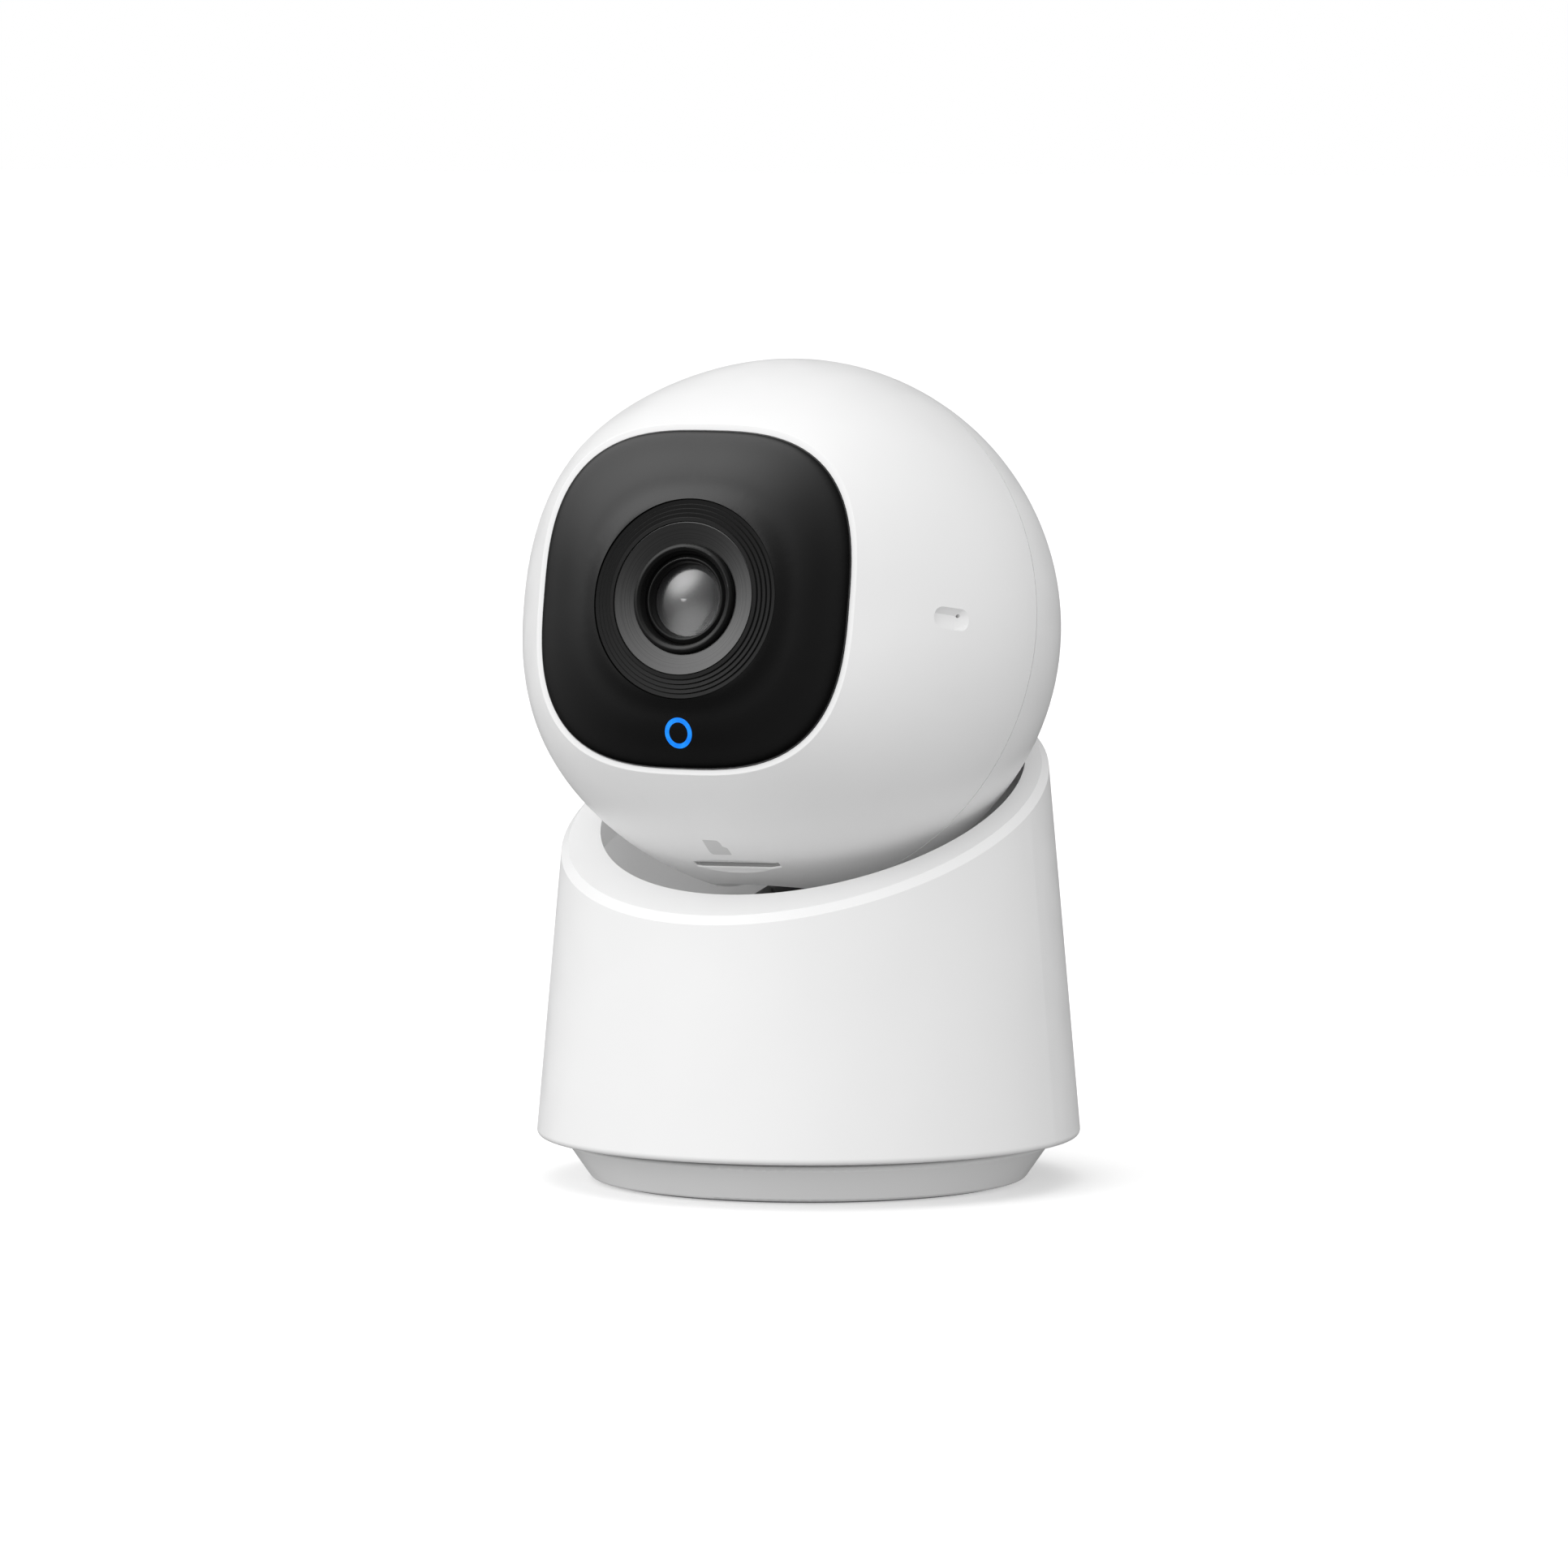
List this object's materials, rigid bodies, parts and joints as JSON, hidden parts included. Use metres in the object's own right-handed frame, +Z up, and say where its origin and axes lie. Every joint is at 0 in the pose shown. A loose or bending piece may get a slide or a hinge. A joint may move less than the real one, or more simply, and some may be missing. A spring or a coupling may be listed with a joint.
{
  "type": "security camera",
  "caption": "Indoor pan and tilt security camera: a ball head with a dark squarish window and round lens, set in a tapered turret with a slanted rim on a small foot.",
  "frame": {"origin": "centre of the tripod thread on the pan axis, at the floor", "axes": "+Z up along the pan axis, -Y the way the lens looks at rest, +X to the side that has the microphone recess"},
  "size_m": [0.0744, 0.077, 0.1122],
  "materials": {
    "shell_white": "satin white",
    "foot_grey": "satin light grey",
    "well_grey": "satin pale grey",
    "pad_rubber": "matt grey",
    "window_black": "gloss black",
    "bezel_black": "satin black",
    "mirror_black": "spun dark anodised",
    "barrel_black": "semi-gloss black",
    "lens_glass": "coated glass",
    "light_blue": "lit blue diffuser",
    "collar_grey": "satin dark grey",
    "mark_grey": "second colour, moulded flush",
    "neck_dark": "satin dark grey",
    "inner_plastic": "moulded dark grey",
    "pom_white": "acetal",
    "steel": "zinc plated",
    "motor_steel": "drawn steel can",
    "brass": "turned brass",
    "aluminium": "extruded, clear anodised",
    "board_green": "solder mask",
    "chip_black": "moulded epoxy",
    "cone_paper": "coated paper cone",
    "sensor_glass": "cover glass"
  },
  "bodies": {
    "foot": {"foot_base": "foot_grey", "foot_pad": "pad_rubber", "ballast_plate": "steel", "foot_screws": "steel", "thread_insert": "brass", "pan_sun_gear": "pom_white"},
    "turret": {"base_shell": "shell_white", "chassis_plate": "inner_plastic", "pan_thrust_washers": "pom_white", "well_bowl": "well_grey", "neck": "neck_dark", "neck_collar": "collar_grey", "tilt_pins": "steel", "neck_screws": "steel", "slot_shield": "neck_dark", "tilt_sun_gear": "pom_white", "pan_motor": "motor_steel", "base_board": "board_green", "base_screws": "steel", "port_board": "board_green", "usb_socket": "steel", "reset_switch": "chip_black", "speaker_frame": "motor_steel", "speaker_cone": "cone_paper"},
    "pan_pinion": {"pan_pinion": "brass"},
    "reset_button": {"reset_button": "foot_grey"},
    "tilt_pinion": {"tilt_pinion": "brass"},
    "infrared_filter": {"filter_frame": "inner_plastic", "filter_panes": "lens_glass"},
    "head": {"front_shell": "shell_white", "card_mark": "mark_grey", "rear_shell": "shell_white", "window": "window_black", "status_light_ring": "light_blue", "lens_bezel": "bezel_black", "mirror_ring": "mirror_black", "lens_barrel": "barrel_black", "lens_retainer": "barrel_black", "front_lens": "lens_glass", "aperture_stop": "barrel_black", "second_lens": "lens_glass", "rear_lens": "lens_glass", "lens_holder": "inner_plastic", "sensor_board": "board_green", "image_sensor": "sensor_glass", "head_frame": "inner_plastic", "head_frame_screws": "steel", "tilt_bushes": "pom_white", "tilt_motor": "motor_steel", "led_board": "board_green", "infrared_leds": "sensor_glass", "status_led": "pom_white", "main_board": "board_green", "main_board_screws": "steel", "main_board_chips": "chip_black", "heat_sink": "aluminium", "wifi_antenna": "board_green", "microphone": "steel", "card_board": "board_green", "card_socket": "inner_plastic"}
  },
  "joints": [
    {"name": "pan", "type": "hinge", "parent": "foot", "child": "turret", "pos_m": [0, 0, 0.0076], "axis": [0, 0, 1], "range_deg": [-175, 175]},
    {"name": "pan_pinion_spin", "type": "hinge", "parent": "turret", "child": "pan_pinion", "pos_m": [-0.015, 0, 0.0109], "axis": [0, 0, 1], "range_deg": [-700, 700]},
    {"name": "reset_press", "type": "slide", "parent": "turret", "child": "reset_button", "axis": [0, -1, 0], "range_m": [0, 0.0006], "stiffness_N_per_m": 400},
    {"name": "tilt", "type": "hinge", "parent": "turret", "child": "head", "pos_m": [0, -0.0051, 0.07573], "axis": [-1, 0, 0], "range_deg": [-19.8, 55.2]},
    {"name": "tilt_pinion_spin", "type": "hinge", "parent": "head", "child": "tilt_pinion", "pos_m": [0.0118, -0.00306, 0.08755], "axis": [-1, 0, 0], "range_deg": [-59.4, 165.6]},
    {"name": "filter_slide", "type": "slide", "parent": "head", "child": "infrared_filter", "axis": [-1, 0, 0], "range_m": [0, 0.0065]}
  ],
  "couplings": [
    {"joint": "pan_pinion_spin", "follows": "pan", "ratio": 4},
    {"joint": "tilt_pinion_spin", "follows": "tilt", "ratio": 3}
  ]
}
